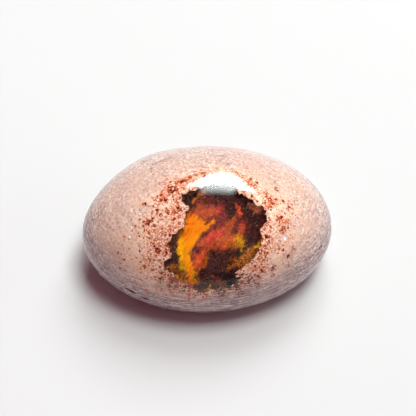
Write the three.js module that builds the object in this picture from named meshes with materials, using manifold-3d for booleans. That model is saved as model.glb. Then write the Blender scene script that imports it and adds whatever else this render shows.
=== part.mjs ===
// Matrix fire opal cabochon: an oval, domed stone with a flat ground back, cut from pale rhyolite.
// A hollow of the rock, filled by fire opal, comes out on the front of the dome as a ragged window.
// Millimetres, +Z up, the flat back at Z = 0, the long axis along X, the window facing -Y.

import * as THREE from 'three';
import { mergeVertices } from 'three/addons/utils/BufferGeometryUtils.js';
import Module from 'manifold-3d';

const wasm = await Module();
wasm.setup();

// The finished stone
const LENGTH = 25;
const WIDTH = 17.4;
const HEIGHT = 11.5;
const GIRDLE_HEIGHT = 4.37;       // where the outline is widest
const BACK_SHARE = 0.62;          // how far down its lower half the stone is ground off flat
const FULLNESS = 0.92;            // under 1 fills out the shoulders of the dome
const BACK_EDGE = 0.3;            // half height of the rounding between flank and back

// The hand-ground outline: one fuller shoulder and one flatter stretch, far left
const LUMPS = [
  { at: 117, spread: 15, amount: 0.027 },
  { at: 153, spread: 23, amount: -0.025 },
];

const ROUND_STEPS = 76;           // facets round the stone
const DOME_STEPS = 14;            // rings from the girdle to the top
const FLANK_STEPS = 5;            // rings from the girdle to the rounded edge
const EDGE_STEPS = 3;             // rings on the rounded edge

// The opal's window: its middle on the dome and its lean to the front
const WINDOW = new THREE.Vector3(0.5, -4.6, 10.5);
const WINDOW_LEAN = 28;
const GAP = 0.3;                  // clearance between the opal and its pocket
const GAP_SLACK = 0.97;           // share of the clearance that a rounded corner may take
const PRISM_HEIGHT = 12;          // the cutting prism, well past both surfaces
const OUTLINE_STEPS = 96;

// The pocket's floor: soft ledges that run into each other, each with its place across and up the
// leaning face, its reach and its depth under the polish. Away from them all it lies a little deeper.
const LEDGES = [
  { across: -2.8, up: -1.0, reach: 1.4, depth: 0.80 },
  { across: -1.2, up: 1.3, reach: 1.2, depth: 0.85 },
  { across: -2.9, up: -3.0, reach: 1.0, depth: 0.70 },
  { across: 0.3, up: 2.3, reach: 1.0, depth: 1.15 },
  { across: 0.8, up: 0.1, reach: 1.1, depth: 1.00 },
  { across: 2.4, up: -0.6, reach: 0.8, depth: 0.90 },
  { across: 2.9, up: -1.9, reach: 1.0, depth: 0.70 },
  { across: 3.8, up: 1.0, reach: 1.1, depth: 1.70 },
  { across: 2.0, up: 3.7, reach: 1.1, depth: 1.70 },
  { across: 0.3, up: -2.4, reach: 1.0, depth: 1.80 },
  { across: 0.6, up: -3.9, reach: 0.9, depth: 1.40 },
  { across: -2.3, up: 3.9, reach: 0.7, depth: 0.75 },
  { across: -0.8, up: 3.9, reach: 0.8, depth: 1.25 },
  { across: -1.6, up: -2.2, reach: 0.5, depth: 0.90 },
];
const FLOOR_DEPTH = 1.5;
const FLOOR_PULL = 0.15;
const FLOOR_SPAN = 12;            // side of the square that the floor is drawn on
const FLOOR_STEPS = 28;
const WELD = 1e-5;

// The window's edge as it shows on the polished surface, clockwise from the upper left corner,
// measured across and up the leaning face
const WINDOW_EDGE = [
  [-2.9, 4.0], [-2.1, 4.5], [-1.3, 4.85], [-0.3, 5.2], [0.8, 5.3], [1.9, 5.1], [2.4, 4.6],
  [2.8, 4.0], [3.6, 3.3], [4.5, 2.7], [4.95, 2.2], [4.95, 1.4], [4.65, 0.7], [4.6, -0.4],
  [4.0, -1.8], [3.4, -2.6], [2.6, -3.05], [2.0, -3.5], [1.9, -4.3], [1.4, -4.8], [0.3, -5.1],
  [-1.3, -5.4], [-2.1, -5.1], [-3.1, -4.4], [-4.2, -3.3], [-4.8, -2.8], [-4.4, -2.2],
  [-4.15, -1.4], [-4.4, -0.75], [-3.9, 0.1], [-3.2, 0.7], [-2.85, 1.5], [-2.4, 2.5], [-2.8, 3.2],
];

const rhyolite = new THREE.MeshStandardMaterial({ color: 0xdcbca9, roughness: 0.35, metalness: 0 });
const opal = new THREE.MeshStandardMaterial({ color: 0xa8481a, roughness: 0.05, metalness: 0 });

function toSolid(geometry) {
  const bare = geometry.clone();
  bare.deleteAttribute('normal');
  bare.deleteAttribute('uv');
  const welded = mergeVertices(bare, WELD);
  return new wasm.Manifold(new wasm.Mesh({
    numProp: 3,
    vertProperties: Float32Array.from(welded.attributes.position.array),
    triVerts: Uint32Array.from(welded.index.array),
  }));
}

function toGeometry(solid) {
  const mesh = solid.getMesh();
  const geometry = new THREE.BufferGeometry();
  geometry.setAttribute('position', new THREE.BufferAttribute(Float32Array.from(mesh.vertProperties), 3));
  geometry.setIndex(new THREE.BufferAttribute(Uint32Array.from(mesh.triVerts), 1));
  geometry.computeVertexNormals();
  return geometry;
}

// The stone's profile, back to top, on a stone of unit half width
function profile() {
  const underside = GIRDLE_HEIGHT / BACK_SHARE;
  const latitudeOf = (height) => Math.asin((height - GIRDLE_HEIGHT) / underside);
  const edgeTop = latitudeOf(BACK_EDGE);
  const edgeFoot = latitudeOf(-BACK_EDGE);
  const latitudes = [];
  for (let i = 0; i < EDGE_STEPS; i += 1) {
    latitudes.push(THREE.MathUtils.lerp(edgeFoot, edgeTop, i / EDGE_STEPS));
  }
  for (let i = 0; i < FLANK_STEPS; i += 1) {
    latitudes.push(THREE.MathUtils.lerp(edgeTop, 0, i / FLANK_STEPS));
  }
  for (let i = 0; i < DOME_STEPS; i += 1) {
    latitudes.push((i / DOME_STEPS) * Math.PI / 2);
  }
  const points = latitudes.map((latitude) => {
    const rise = Math.sin(latitude) * (latitude > 0 ? HEIGHT - GIRDLE_HEIGHT : underside);
    const raw = GIRDLE_HEIGHT + rise;
    const height = raw > BACK_EDGE ? raw : (raw + BACK_EDGE) ** 2 / (4 * BACK_EDGE);
    return new THREE.Vector2(Math.cos(latitude) ** FULLNESS, height);
  });
  return [new THREE.Vector2(0, 0), ...points, new THREE.Vector2(0, HEIGHT)];
}

// The blank: the profile turned, drawn out to an oval, given its lumps and ground to its size
function blank() {
  const geometry = new THREE.LatheGeometry(profile(), ROUND_STEPS);
  geometry.rotateX(Math.PI / 2);
  const position = geometry.attributes.position;
  const point = new THREE.Vector3();
  for (let i = 0; i < position.count; i += 1) {
    point.fromBufferAttribute(position, i);
    const reach = Math.hypot(point.x, point.y);
    const bearing = THREE.MathUtils.radToDeg(Math.atan2(point.y, point.x));
    let swell = 1;
    for (const lump of LUMPS) {
      const away = THREE.MathUtils.euclideanModulo(bearing - lump.at + 180, 360) - 180;
      swell += lump.amount * Math.exp(-((away / lump.spread) ** 2)) * reach ** 2;
    }
    position.setXYZ(i, point.x * swell, point.y * swell, point.z);
  }
  geometry.computeBoundingBox();
  const size = geometry.boundingBox.getSize(new THREE.Vector3());
  geometry.scale(LENGTH / size.x, WIDTH / size.y, HEIGHT / size.z);
  geometry.computeBoundingBox();
  const middle = geometry.boundingBox.getCenter(new THREE.Vector3());
  geometry.translate(-middle.x, -middle.y, -geometry.boundingBox.min.z);
  return geometry;
}

// The window's edge as a smooth closed line, drawn in by the clearance where the opal needs it
function windowLine(inset) {
  const corners = WINDOW_EDGE.map(([across, up]) => new THREE.Vector3(across, up, 0));
  const line = new THREE.CatmullRomCurve3(corners, true, 'centripetal');
  const edge = line.getSpacedPoints(OUTLINE_STEPS).slice(0, OUTLINE_STEPS);
  const moved = edge.map((point, i) => {
    const along = line.getTangentAt(i / OUTLINE_STEPS);
    return new THREE.Vector3(point.x + along.y * inset, point.y - along.x * inset, 0);
  });
  const clear = (point) => edge.every((other) => other.distanceTo(point) > inset * GAP_SLACK);
  return moved.filter((point) => inset === 0 || clear(point));
}

// Brings a shape drawn flat, across and up from the window's middle, to the leaning face
function toWindow(shape) {
  return shape.applyMatrix4(windowPlace);
}

// Depth of the pocket's floor under the polish, at a place across and up the leaning face
function floorDepth(across, up) {
  let pull = FLOOR_PULL;
  let depth = FLOOR_PULL * FLOOR_DEPTH;
  for (const ledge of LEDGES) {
    const away = Math.hypot(across - ledge.across, up - ledge.up) / ledge.reach;
    pull += Math.exp(-(away ** 2));
    depth += Math.exp(-(away ** 2)) * ledge.depth;
  }
  return depth / pull;
}

// How far the polish lies under the window's plane, found by looking straight down onto the blank
function polishHeight(across, up) {
  const eye = toWindow(new THREE.Vector3(across, up, PRISM_HEIGHT));
  const down = new THREE.Vector3(0, 0, -1).transformDirection(windowPlace);
  const hits = new THREE.Raycaster(eye, down).intersectObject(blankMesh);
  return hits.length > 0 ? PRISM_HEIGHT - hits[0].distance : -PRISM_HEIGHT / 2;
}

// The space of the pocket: straight walls under the window's edge, and the floor of ledges
function pocket(inset) {
  const outline = new THREE.Shape(windowLine(inset).map((point) => new THREE.Vector2(point.x, point.y)));
  const prism = new THREE.ExtrudeGeometry(outline, { depth: PRISM_HEIGHT, bevelEnabled: false });
  prism.translate(0, 0, -PRISM_HEIGHT / 2);
  const room = new THREE.BoxGeometry(FLOOR_SPAN, FLOOR_SPAN, PRISM_HEIGHT, FLOOR_STEPS, FLOOR_STEPS, 1);
  const corner = room.attributes.position;
  for (let i = 0; i < corner.count; i += 1) {
    if (corner.getZ(i) < 0) {
      const across = corner.getX(i);
      const up = corner.getY(i);
      corner.setZ(i, polishHeight(across, up) - floorDepth(across, up) + inset);
    }
  }
  return toSolid(toWindow(toGeometry(toSolid(prism).intersect(toSolid(room)))));
}

function named(name, solid, material) {
  const mesh = new THREE.Mesh(toGeometry(solid), material);
  mesh.name = name;
  return mesh;
}

const windowPlace = new THREE.Matrix4()
  .makeRotationX(THREE.MathUtils.degToRad(WINDOW_LEAN))
  .setPosition(WINDOW);
const blankMesh = new THREE.Mesh(blank(), rhyolite);
const body = toSolid(blankMesh.geometry);
const group = new THREE.Group();
group.add(named('rhyolite_matrix', body.subtract(pocket(0)), rhyolite));
group.add(named('fire_opal', body.intersect(pocket(GAP)), opal));

export default group;
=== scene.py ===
"""Matrix fire opal cabochon: a polished oval dome of pale rhyolite with a window of clear fire opal.

The rock is one mesh: a polished shell with slit pits, and a hollow in its front whose floor carries the
fire. The opal is a second, clear mesh that fills the hollow flush with the polish.
"""

import math

import bmesh
import bpy
import numpy as np
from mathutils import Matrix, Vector, noise


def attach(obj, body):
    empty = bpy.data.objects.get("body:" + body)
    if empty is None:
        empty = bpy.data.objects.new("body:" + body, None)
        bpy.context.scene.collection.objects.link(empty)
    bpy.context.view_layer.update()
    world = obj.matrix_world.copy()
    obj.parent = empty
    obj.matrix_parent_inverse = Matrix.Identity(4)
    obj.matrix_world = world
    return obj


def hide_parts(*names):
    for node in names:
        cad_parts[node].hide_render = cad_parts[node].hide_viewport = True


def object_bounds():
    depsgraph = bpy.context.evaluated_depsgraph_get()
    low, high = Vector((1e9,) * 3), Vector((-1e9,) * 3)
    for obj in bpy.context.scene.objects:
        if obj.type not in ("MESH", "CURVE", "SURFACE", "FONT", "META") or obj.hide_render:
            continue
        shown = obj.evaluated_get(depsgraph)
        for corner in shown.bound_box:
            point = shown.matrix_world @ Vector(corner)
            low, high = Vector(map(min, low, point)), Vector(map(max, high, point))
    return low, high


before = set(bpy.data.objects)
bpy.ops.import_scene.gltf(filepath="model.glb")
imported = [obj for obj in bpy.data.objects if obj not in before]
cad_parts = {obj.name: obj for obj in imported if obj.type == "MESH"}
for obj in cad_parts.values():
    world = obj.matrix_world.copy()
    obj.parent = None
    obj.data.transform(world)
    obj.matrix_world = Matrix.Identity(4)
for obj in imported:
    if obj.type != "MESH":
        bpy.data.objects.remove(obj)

bl_info = {
    "name": "Matrix Fire Opal Cabochon",
    "version": (1, 0, 0),
    "blender": (4, 5, 0),
    "location": "View3D > Sidebar > Cabochon",
    "description": "Builds a polished matrix fire opal cabochon round its packed solids",
    "category": "Add Mesh",
}

CAD_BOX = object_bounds()
MM = 0.001

# The stone's size comes from the frame, and its form repeats the solids' own formula
LOW, HIGH = (np.array(corner) / MM for corner in CAD_BOX)
LUMPS = ((117, 15, 0.027), (153, 23, -0.025))     # bearing, spread, swell: a shoulder and a flat
PLAN_STEPS = 720

# The window, in mm across and up the leaning face, clockwise from its upper left corner
WINDOW_MIDDLE = np.array((0.5, -4.6, 10.5))
WINDOW_LEAN = math.radians(28)
WINDOW_EDGE = (
    (-2.9, 4.1), (-2.5, 4.25), (-2.1, 4.4), (-1.3, 4.65), (-0.8, 4.85), (-0.3, 4.98), (0.8, 5.02),
    (1.9, 4.92), (2.4, 4.6), (2.75, 4.05), (3.2, 3.6), (3.6, 3.3), (4.1, 2.9), (4.65, 2.7),
    (4.95, 2.3), (5.0, 1.4), (4.65, 0.7), (4.6, 0.1), (4.65, -0.3), (4.5, -0.8), (4.3, -1.3),
    (4.0, -1.8), (3.8, -2.3), (3.4, -2.6), (2.9, -2.85), (2.5, -3.1), (2.05, -3.45), (1.85, -3.85),
    (1.95, -4.35), (1.4, -4.8), (0.3, -5.05), (-0.6, -5.3), (-1.3, -5.4), (-2.0, -5.15),
    (-2.6, -4.8), (-3.1, -4.45), (-3.6, -4.1), (-3.9, -3.7), (-4.3, -3.25), (-4.8, -2.95),
    (-5.0, -2.75), (-4.7, -2.45), (-4.35, -2.2), (-4.25, -1.8), (-4.1, -1.4), (-4.2, -0.95),
    (-4.5, -0.75), (-4.2, -0.35), (-3.95, 0.1), (-3.5, 0.5), (-3.2, 0.75), (-2.8, 0.85),
    (-2.75, 1.15), (-2.95, 1.6), (-2.75, 2.0), (-2.45, 2.35), (-2.2, 2.8), (-2.35, 3.0),
    (-2.8, 3.2), (-2.95, 3.6),
)
EDGE_PER_SPAN = 4
WINDOW_REACH, HALO_REACH = 5, 10.5    # about how far the window and its halo reach from its middle
BEHIND = -5                           # what lies this far under the window's face is the stone's back
FRONT_FOOT = 2                        # below this height there is no window, halo, clot or bruise
FAR = 50                              # farther off than any place on the stone
CUT_SLACK = 0.04                      # the opal is cut this much past its bite, to cover the mesh's steps
# How ragged the edge is: grain and push of each size of tooth in mm, and its random seed
RAGGEDNESS = ((0.7, 0.26, 1), (0.3, 0.20, 3), (0.13, 0.09, 20))

# How far the speckled halo reaches from the window's edge above, below and to its sides, in mm
HALO_ABOVE, HALO_BELOW, HALO_LEFT, HALO_RIGHT = 1.9, 0.8, 5.6, 4.5

# Slit pits left by polishing: middle, end of the slit, half width and depth, in mm
SLITS = (
    ((-7.65, -6.87, 4.4), (-7.25, -7.1, 4.3), 0.16, 0.35),
    ((-10.4, -4.75, 5.05), (-10.2, -4.95, 4.95), 0.09, 0.2),
    ((-6.35, -7.48, 3.95), (-6.05, -7.6, 3.9), 0.12, 0.25),
    ((-8.6, -5.35, 7.2), (-8.45, -5.43, 7.25), 0.07, 0.12),
    ((-9.3, -5.9, 3.9), (-8.9, -6.2, 3.8), 0.07, 0.15),
    ((10.97, -3.66, 6.07), (11.1, -3.4, 6.1), 0.12, 0.2),
    ((2.0, -8.27, 6.4), (2.3, -8.25, 6.4), 0.08, 0.15),
)
# The crevice and pits in the rock at the window's lower right edge, the same way
CREVICES = (
    ((2.65, -7.1, 8.35), (3.25, -6.95, 8.45), 0.10, 0.5),
    ((2.7, -7.68, 7.45), (2.85, -7.6, 7.5), 0.16, 0.45),
    ((3.1, -7.43, 7.75), (3.2, -7.4, 7.8), 0.12, 0.35),
    ((2.35, -7.9, 7.15), (2.5, -7.85, 7.2), 0.15, 0.45),
    ((1.74, -8.14, 6.76), (1.9, -8.1, 6.8), 0.16, 0.4),
    ((2.4, -7.5, 7.9), (2.6, -7.45, 7.9), 0.13, 0.4),
)

# Vugs lined with white chalcedony, the same way. Their white is partly painted glint of the crystals in
# them.
VUGS = (
    ((-6.49, -1.78, 10.41), (-6.46, -1.8, 10.42), 0.10, 0.10),
    ((-7.29, -2.9, 9.79), (-7.28, -2.95, 9.77), 0.09, 0.10),
    ((-7.51, -3.68, 9.35), (-7.49, -3.73, 9.33), 0.11, 0.11),
    ((-6.78, -5.15, 8.77), (-6.75, -5.2, 8.75), 0.09, 0.10),
    ((7.35, -4.21, 9.13), (7.35, -4.30, 9.08), 0.17, 0.15),
    ((9.19, -3.11, 8.62), (9.09, -3.38, 8.53), 0.06, 0.06),
    ((8.73, -1.3, 9.5), (8.88, -1.25, 9.42), 0.05, 0.05),
    ((5.93, -6.54, 7.77), (6.01, -6.5, 7.76), 0.13, 0.12),
    ((8.11, -2.74, 9.46), (8.14, -2.76, 9.44), 0.07, 0.08),
)

# How near the window's edge and the pits the mesh is split finer, and finer again, in mm
FINE_EDGE, FINE_PITS = 1.6, 0.5
FINEST_EDGE, FINEST_PITS = 0.28, 0.15
DOME_FOOT = 0.4                       # everything above this height is split once more than the back
SHARP = math.radians(35)              # an edge that turns more than this is shaded as sharp

# A band of rust that runs above the window: across, up and half width, in mm
RUST_BAND = (
    (-5.9, 0.9, 0.6), (-5.5, 2.2, 0.7), (-4.7, 3.8, 0.8), (-3.4, 5.1, 0.45), (-2.2, 5.65, 0.3),
    (-0.8, 6.2, 0.3), (0.6, 6.4, 0.3), (2.0, 6.3, 0.3), (3.0, 5.7, 0.4), (4.2, 4.7, 0.5),
    (5.2, 3.6, 0.5), (6.2, 2.5, 0.45), (6.6, 1.2, 0.35),
)

# Clots of iron oxide in the halo, and the bruised rock below the window: across, up and radius, in mm
CLOTS = (
    (-3.95, 4.7, 0.55), (-2.8, 5.4, 0.4), (-0.7, 6.1, 0.3), (-5.35, 2.65, 0.3), (-3.45, 2.65, 0.5),
    (-5.85, 1.8, 0.25), (-6.25, 1.55, 0.4), (-6.5, 3.4, 0.25), (-5.7, -0.8, 0.2), (-5.45, -1.2, 0.35),
    (-4.6, -1.5, 0.3), (-4.45, -0.65, 0.25), (-4.15, 0.3, 0.3), (5.1, -0.15, 0.3), (5.5, -3.2, 0.4),
    (4.15, -4.0, 0.3), (4.55, -3.45, 0.3), (6.55, 1.6, 0.25), (7.0, 1.2, 0.2), (6.5, 0.3, 0.25),
    (-4.95, -3.4, 0.3), (-4.1, -4.05, 0.4), (-3.75, -4.65, 0.3), (-2.4, -5.15, 0.25),
    (6.15, 3.35, 0.25), (7.1, -2.15, 0.25), (4.85, -1.75, 0.3),
)
BRUISES = (
    (0.65, -5.2, 1.0), (2.0, -4.8, 1.0), (3.2, -4.5, 0.9), (4.0, -4.6, 0.6), (2.4, -5.3, 0.8),
    (-4.1, -4.45, 0.7), (-3.05, -4.85, 0.6), (-5.25, -4.0, 0.6),
)

# The fire, as strokes across the hollow's floor. Each has its finish, its softness and the points it runs
# through: across, up and half width, in mm. Later strokes lie over earlier ones.
FIRE = (
    ("umber", 0.9, ((-1.6, 2.9, 0.5), (-0.9, 3.2, 0.6), (-0.1, 3.2, 0.4))),
    ("russet", 0.9, ((3.55, 2.8, 0.3), (4.4, 2.5, 0.5))),
    ("umber", 0.9, ((3.0, 0.9, 0.25), (3.45, 0.3, 0.25))),
    ("umber", 0.9, ((4.7, 2.0, 0.35), (4.75, 1.3, 0.3), (4.4, 0.4, 0.25))),
    ("ochre", 0.9, ((-2.3, 0.8, 0.5), (-2.2, 1.5, 0.6), (-1.8, 2.1, 0.5))),
    ("tawny", 0.9, ((-2.0, 2.1, 0.4), (-1.4, 2.5, 0.4))),
    ("ember", 0.9, ((-1.4, 1.9, 0.5), (-0.6, 2.2, 0.6), (0.3, 2.4, 0.5))),
    ("garnet", 0.9, ((0.65, 2.8, 0.3), (0.75, 1.95, 0.5), (0.75, 1.1, 0.5))),
    ("flame", 0.5, ((-2.45, -2.9, 0.5), (-2.8, -1.9, 0.65), (-2.75, -0.95, 0.78), (-2.25, 0.0, 1.0),
                    (-1.9, 0.75, 0.8), (-0.85, 1.0, 0.40), (-0.1, 1.35, 0.10))),
    ("blaze", 1.0, ((-2.4, 0.3, 0.5), (-1.9, 0.85, 0.7), (-0.75, 1.0, 0.4), (0.1, 1.45, 0.12))),
    ("blaze", 1.0, ((-2.1, 1.1, 0.5), (-2.1, 2.0, 0.4))),
    ("blaze", 1.0, ((-2.5, -2.9, 0.4), (-2.35, -3.3, 0.4))),
    ("gold", 0.9, ((-3.2, -2.0, 0.2), (-3.2, -1.05, 0.25), (-3.0, -0.15, 0.2))),
    ("olive", 0.8, ((-3.35, -2.4, 0.15), (-3.45, -1.5, 0.15), (-3.4, -0.85, 0.1))),
    ("plum", 0.7, ((1.05, 1.95, 0.3), (0.2, 1.1, 0.3), (-0.65, 0.3, 0.3), (-1.55, -0.65, 0.25),
                    (-1.95, -1.3, 0.28), (-2.15, -2.1, 0.2))),
    ("ember", 0.8, ((0.6, 0.7, 0.4), (-0.4, -0.1, 0.4), (-1.15, -0.75, 0.4))),
    ("rose", 0.9, ((0.65, 0.3, 0.3), (0.1, -0.1, 0.45), (-0.5, -0.25, 0.3))),
    ("tawny", 0.8, ((1.9, 1.65, 0.2), (1.65, 1.1, 0.38), (1.3, 0.3, 0.45), (0.95, -0.35, 0.5))),
    ("glow", 0.9, ((1.9, -0.6, 0.5), (0.75, -0.65, 0.5), (-0.4, -0.85, 0.35))),
    ("garnet", 0.9, ((2.7, 1.25, 0.2), (2.6, 0.5, 0.3))),
    ("plum", 0.9, ((2.3, 1.7, 0.2), (2.1, 0.9, 0.15))),
    ("plum", 0.9, ((1.0, 1.7, 0.3), (0.7, 1.0, 0.2))),
    ("ember", 0.9, ((2.5, 0.9, 0.2), (2.55, 0.3, 0.35))),
    ("ochre", 0.9, ((2.4, -0.45, 0.5), (1.75, -0.85, 0.5))),
    ("olive", 0.8, ((2.3, -0.2, 0.2), (2.45, -0.75, 0.3), (2.6, -1.3, 0.2))),
    ("scarlet", 0.8, ((2.3, 2.9, 0.08), (2.45, 2.2, 0.2), (2.6, 1.7, 0.1))),
    ("scarlet", 0.9, ((-0.95, -1.25, 0.25), (-1.4, -1.9, 0.45), (-1.6, -2.65, 0.4))),
    ("ochre", 0.9, ((-0.75, -1.25, 0.1), (-0.75, -2.0, 0.12), (-1.05, -2.75, 0.15))),
    ("ochre", 0.9, ((-1.65, -3.15, 0.25), (-1.85, -3.9, 0.28))),
    ("amber", 0.7, ((-4.5, -2.85, 0.3), (-3.95, -3.05, 0.6), (-3.45, -3.75, 0.5), (-2.8, -4.3, 0.4))),
    ("blaze", 0.9, ((-2.5, -3.0, 0.42), (-2.35, -3.6, 0.3), (-2.3, -4.3, 0.25))),
    ("olive", 0.9, ((-2.1, -3.45, 0.2), (-1.85, -3.85, 0.15))),
    ("olive", 0.9, ((-3.0, -2.6, 0.2), (-2.9, -3.15, 0.2))),
    ("ember", 0.8, ((-2.4, -4.4, 0.25), (-2.1, -4.7, 0.25))),
    ("amber", 0.8, ((1.55, -2.6, 0.4), (2.4, -2.6, 0.6), (3.35, -2.0, 0.65), (4.25, -1.15, 0.5),
                    (4.6, -0.25, 0.3))),
    ("olive", 0.9, ((4.25, -0.45, 0.1), (3.95, -1.05, 0.15))),
    ("char", 0.9, ((1.9, -1.5, 0.25), (2.4, -1.7, 0.3))),
    ("soot", 0.9, ((0.0, -3.55, 0.4), (1.25, -3.9, 0.65), (1.75, -4.7, 0.5))),
    ("moss", 0.9, ((-1.65, -5.0, 0.4), (-0.6, -4.9, 0.6), (0.6, -4.9, 0.5))),
    ("olive", 0.9, ((-0.9, -4.6, 0.12), (-0.5, -4.75, 0.1))),
    ("amber", 0.9, ((0.0, -3.85, 0.1), (0.15, -3.95, 0.1))),
    ("amber", 0.9, ((0.9, -4.2, 0.12), (1.0, -4.25, 0.1))),
    ("umber", 0.9, ((-0.85, -3.65, 0.15), (0.0, -4.0, 0.2), (0.65, -4.2, 0.15))),
    ("char", 0.5, ((-2.8, 3.75, 0.5), (-2.2, 3.5, 0.5), (-1.9, 4.25, 0.4))),
    ("ochre", 0.7, ((-1.75, 3.4, 0.1), (-1.25, 3.85, 0.2), (-0.65, 4.35, 0.15))),
    ("char", 0.6, ((-3.75, -0.1, 0.25), (-3.85, -1.05, 0.3), (-3.65, -1.8, 0.2))),
)

# The fire's colours, as the hollow's floor shows them under clear opal, and how speckled each is
FINISHES = {
    "flame": ("#FFA000", 0.0), "blaze": ("#F48A08", 0.1), "gold": ("#FFBC00", 0.2),
    "tawny": ("#A14D2D", 0.25), "ember": ("#B55239", 0.25), "scarlet": ("#D85A32", 0.25),
    "rose": ("#D84C46", 0.2), "garnet": ("#8E2F33", 0.35), "olive": ("#C09200", 0.4),
    "glow": ("#C65D39", 0.2), "ochre": ("#A86019", 0.5), "amber": ("#88521F", 1.0),
    "umber": ("#5D2A26", 0.6), "moss": ("#553A16", 1.0), "russet": ("#C27C6A", 0.6),
    "plum": ("#6A3036", 0.4), "maroon": ("#352126", 0.65), "char": ("#3C281C", 0.9),
    "soot": ("#150C0E", 0.8),
}
FIBRE_SLANT = math.radians(52)        # the fire is drawn out in fibres that rise to the right
# What feathers the strokes along the fibres: grain along, across and out of them, push in mm, and seed
FEATHERS = (((1.1, 0.28, 1), 0.36, 5), ((0.6, 0.14, 1), 0.30, 6))
FIRE_STIRS = ((0.8, 0.24, 7), (0.3, 0.16, 10))    # and what bends them every way: grain, push and seed
FIBRE_LENGTH, FIBRE_WIDTH = 0.8, 0.16     # in mm
SWAY, SWAY_PUSH = 0.9, 0.7            # the grain of the fibres' sway and how far it goes, in mm
SPARK_SPACING = 0.20                  # in mm
# The hollow's mottles: size in mm, detail, and how dark and bright they are
MOTTLES = ((0.55, 3.0, 0.35, 1.80), (0.15, 2.0, 0.10, 2.5))

# How deep the hollow's floor lies under the polish: across, up, reach and depth of each ledge, in mm
LEDGES = (
    (-2.8, -1.0, 1.4, 0.80), (-1.2, 1.3, 1.2, 0.85), (-2.9, -3.0, 1.0, 0.70), (0.3, 2.3, 1.0, 1.15),
    (0.8, 0.1, 1.1, 1.00), (2.4, -0.6, 0.8, 0.90), (2.9, -1.9, 1.0, 0.70), (3.8, 1.0, 1.1, 1.70),
    (2.0, 3.7, 1.1, 1.70), (0.3, -2.4, 1.0, 1.80), (0.6, -3.9, 0.9, 1.40), (-2.3, 3.9, 0.7, 0.75),
    (-0.8, 3.9, 0.8, 1.25), (-1.6, -2.2, 0.5, 0.90),
)
FLOOR_DEPTH, FLOOR_PULL = 1.5, 0.15   # depth away from all ledges, and how much it counts
FLOOR_GRAIN, FLOOR_RELIEF = 0.35, 0.05    # how coarse and how high its unevenness is
SHALLOWEST = 0.05                     # no part of it lies nearer to the polish than this
WALL_WIDTH, SLOPE_FOOT = 0.10, 0.7    # the wall drops steeply and is painted dark, partly the opal's dark edge and partly painted shade, then slopes down to the floor

# The rock's colours. The vugs' white is partly painted glint, the pits' near black is painted shade, and
# the heather low on the flank is partly painted shade. The last two are sparkles on the hollow's dark
# ledges.
ROCK_COLOURS = {
    "pink": "#C6A69C", "beige": "#CCAE9E", "peach": "#E6BA9C", "heather_and_shade": "#967A7C", "cream": "#FEE6CC",
    "haze": "#DC9A70", "fleck": "#644650", "streak": "#96767A", "pale": "#F0E0DA",
    "terracotta": "#D06C3C", "brick": "#8A2E18", "rust": "#B04820", "oxblood": "#3C1412",
    "vug_white_and_glint": "#ECE6F2", "pit_shade": "#1E1418", "mauve": "#9A6450", "dusk": "#521E18",
    "spark": "#C07028", "sage": "#625A44",
}
# The rock's flow texture: the lenses' length, depth and thickness in mm, where the noise starts and ends,
# the strength on the dome and on the flank, and the colour
FLOW = (
    ((3.0, 2.0, 0.5), 0.48, 0.62, 0.30, 0.60, "streak"),
    ((0.3, 0.3, 0.19), 0.50, 0.64, 0.65, 0.75, "pale"),
    ((0.24, 0.24, 0.16), 0.53, 0.66, 0.50, 1.0, "fleck"),
    ((1.4, 0.9, 0.16), 0.50, 0.59, 0.08, 0.70, "pale"),
    ((1.2, 0.8, 0.14), 0.50, 0.57, 0.08, 0.85, "fleck"),
)
FLANK_TOP, FLANK_FOOT = 8.5, 4.0      # heights in mm between which the dome's strength becomes the flank's
MAUVE_AND_SHADE_TOP, MAUVE_AND_SHADE_FOOT = 7.9, 5.4      # and between which the rock turns a darker, greyer mauve, partly its own tone and partly painted shade
# The halo's specks: spacing in mm, colour, chance, and ring radius, half width and softness in spacings
SPECKS = (
    (0.25, "terracotta", 0.85, 0.0, 0.48, 0.20), (0.46, "rust", 0.80, 0.28, 0.12, 0.06),
    (0.38, "rust", 0.55, 0.0, 0.44, 0.12), (0.26, "brick", 0.40, 0.0, 0.42, 0.12),
    (0.50, "brick", 0.45, 0.0, 0.38, 0.10), (0.62, "brick", 0.30, 0.26, 0.11, 0.06),
    (0.56, "oxblood", 0.22, 0.0, 0.28, 0.08),
)
# Sizes in mm of the rock's clouds, of the iron's clumps, of the stir that bends its dots and how far
# it pushes them, of the fine net between them, and of the crumbs that clots and bruises break into
CLOUDS, CLUMPS, STIR, STIR_PUSH, NET, CRUMBS = 3.2, 1.1, 0.25, 0.22, 0.34, 0.24
HAZE = 0.20                           # how strongly iron tints the rock between its dots
BLOT_GRAIN, BLOT_STIR = 0.35, 0.15    # grain and push of the noise that frays clots and bruises, in mm
POLISH_RELIEF = 0.02 * MM             # how high the rock's harder grains stand in the polish
MATT_BACK, POLISH_FOOT = 0.1, 0.6     # heights in mm where the matt ground back ends and the polish begins

# The camera stands where the photograph's stood: 58 degrees up and a touch to the left of front
CAMERA_AZIMUTH, CAMERA_ELEVATION = math.radians(-2.1), math.radians(58)
CAMERA_DISTANCE = 140 * MM
FIELD_WIDTH = 41.56 * MM
SENSOR_WIDTH = 36
CAMERA_TARGET = Vector((0, 0, 5.175)) * MM
FRAMING_UP, FRAMING_RIGHT = 1.635 * MM, 0.093 * MM

# The softbox that the polish mirrors stands behind the stone and a little to the right. Its corners are
# in metres across and up its cloth. It fades upwards, and above WING_TOP to its sides as well.
SOFTBOX_BEARING, SOFTBOX_ELEVATION = math.radians(11), math.radians(54)
SOFTBOX_DISTANCE = 0.5
SOFTBOX_CORNERS = (
    (0.137, 0.012), (0.090, 0.09), (-0.090, 0.09), (-0.150, -0.014), (-0.088, -0.055), (-0.060, -0.090),
    (-0.029, -0.161), (0.018, -0.156), (0.045, -0.132), (0.076, -0.052), (0.105, -0.017),
)
UPWARD_FADE, SIDE_FADE, WING_TOP = (-0.050, 0.088), (0.040, 0.075), (-0.005, 0.012)

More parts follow.
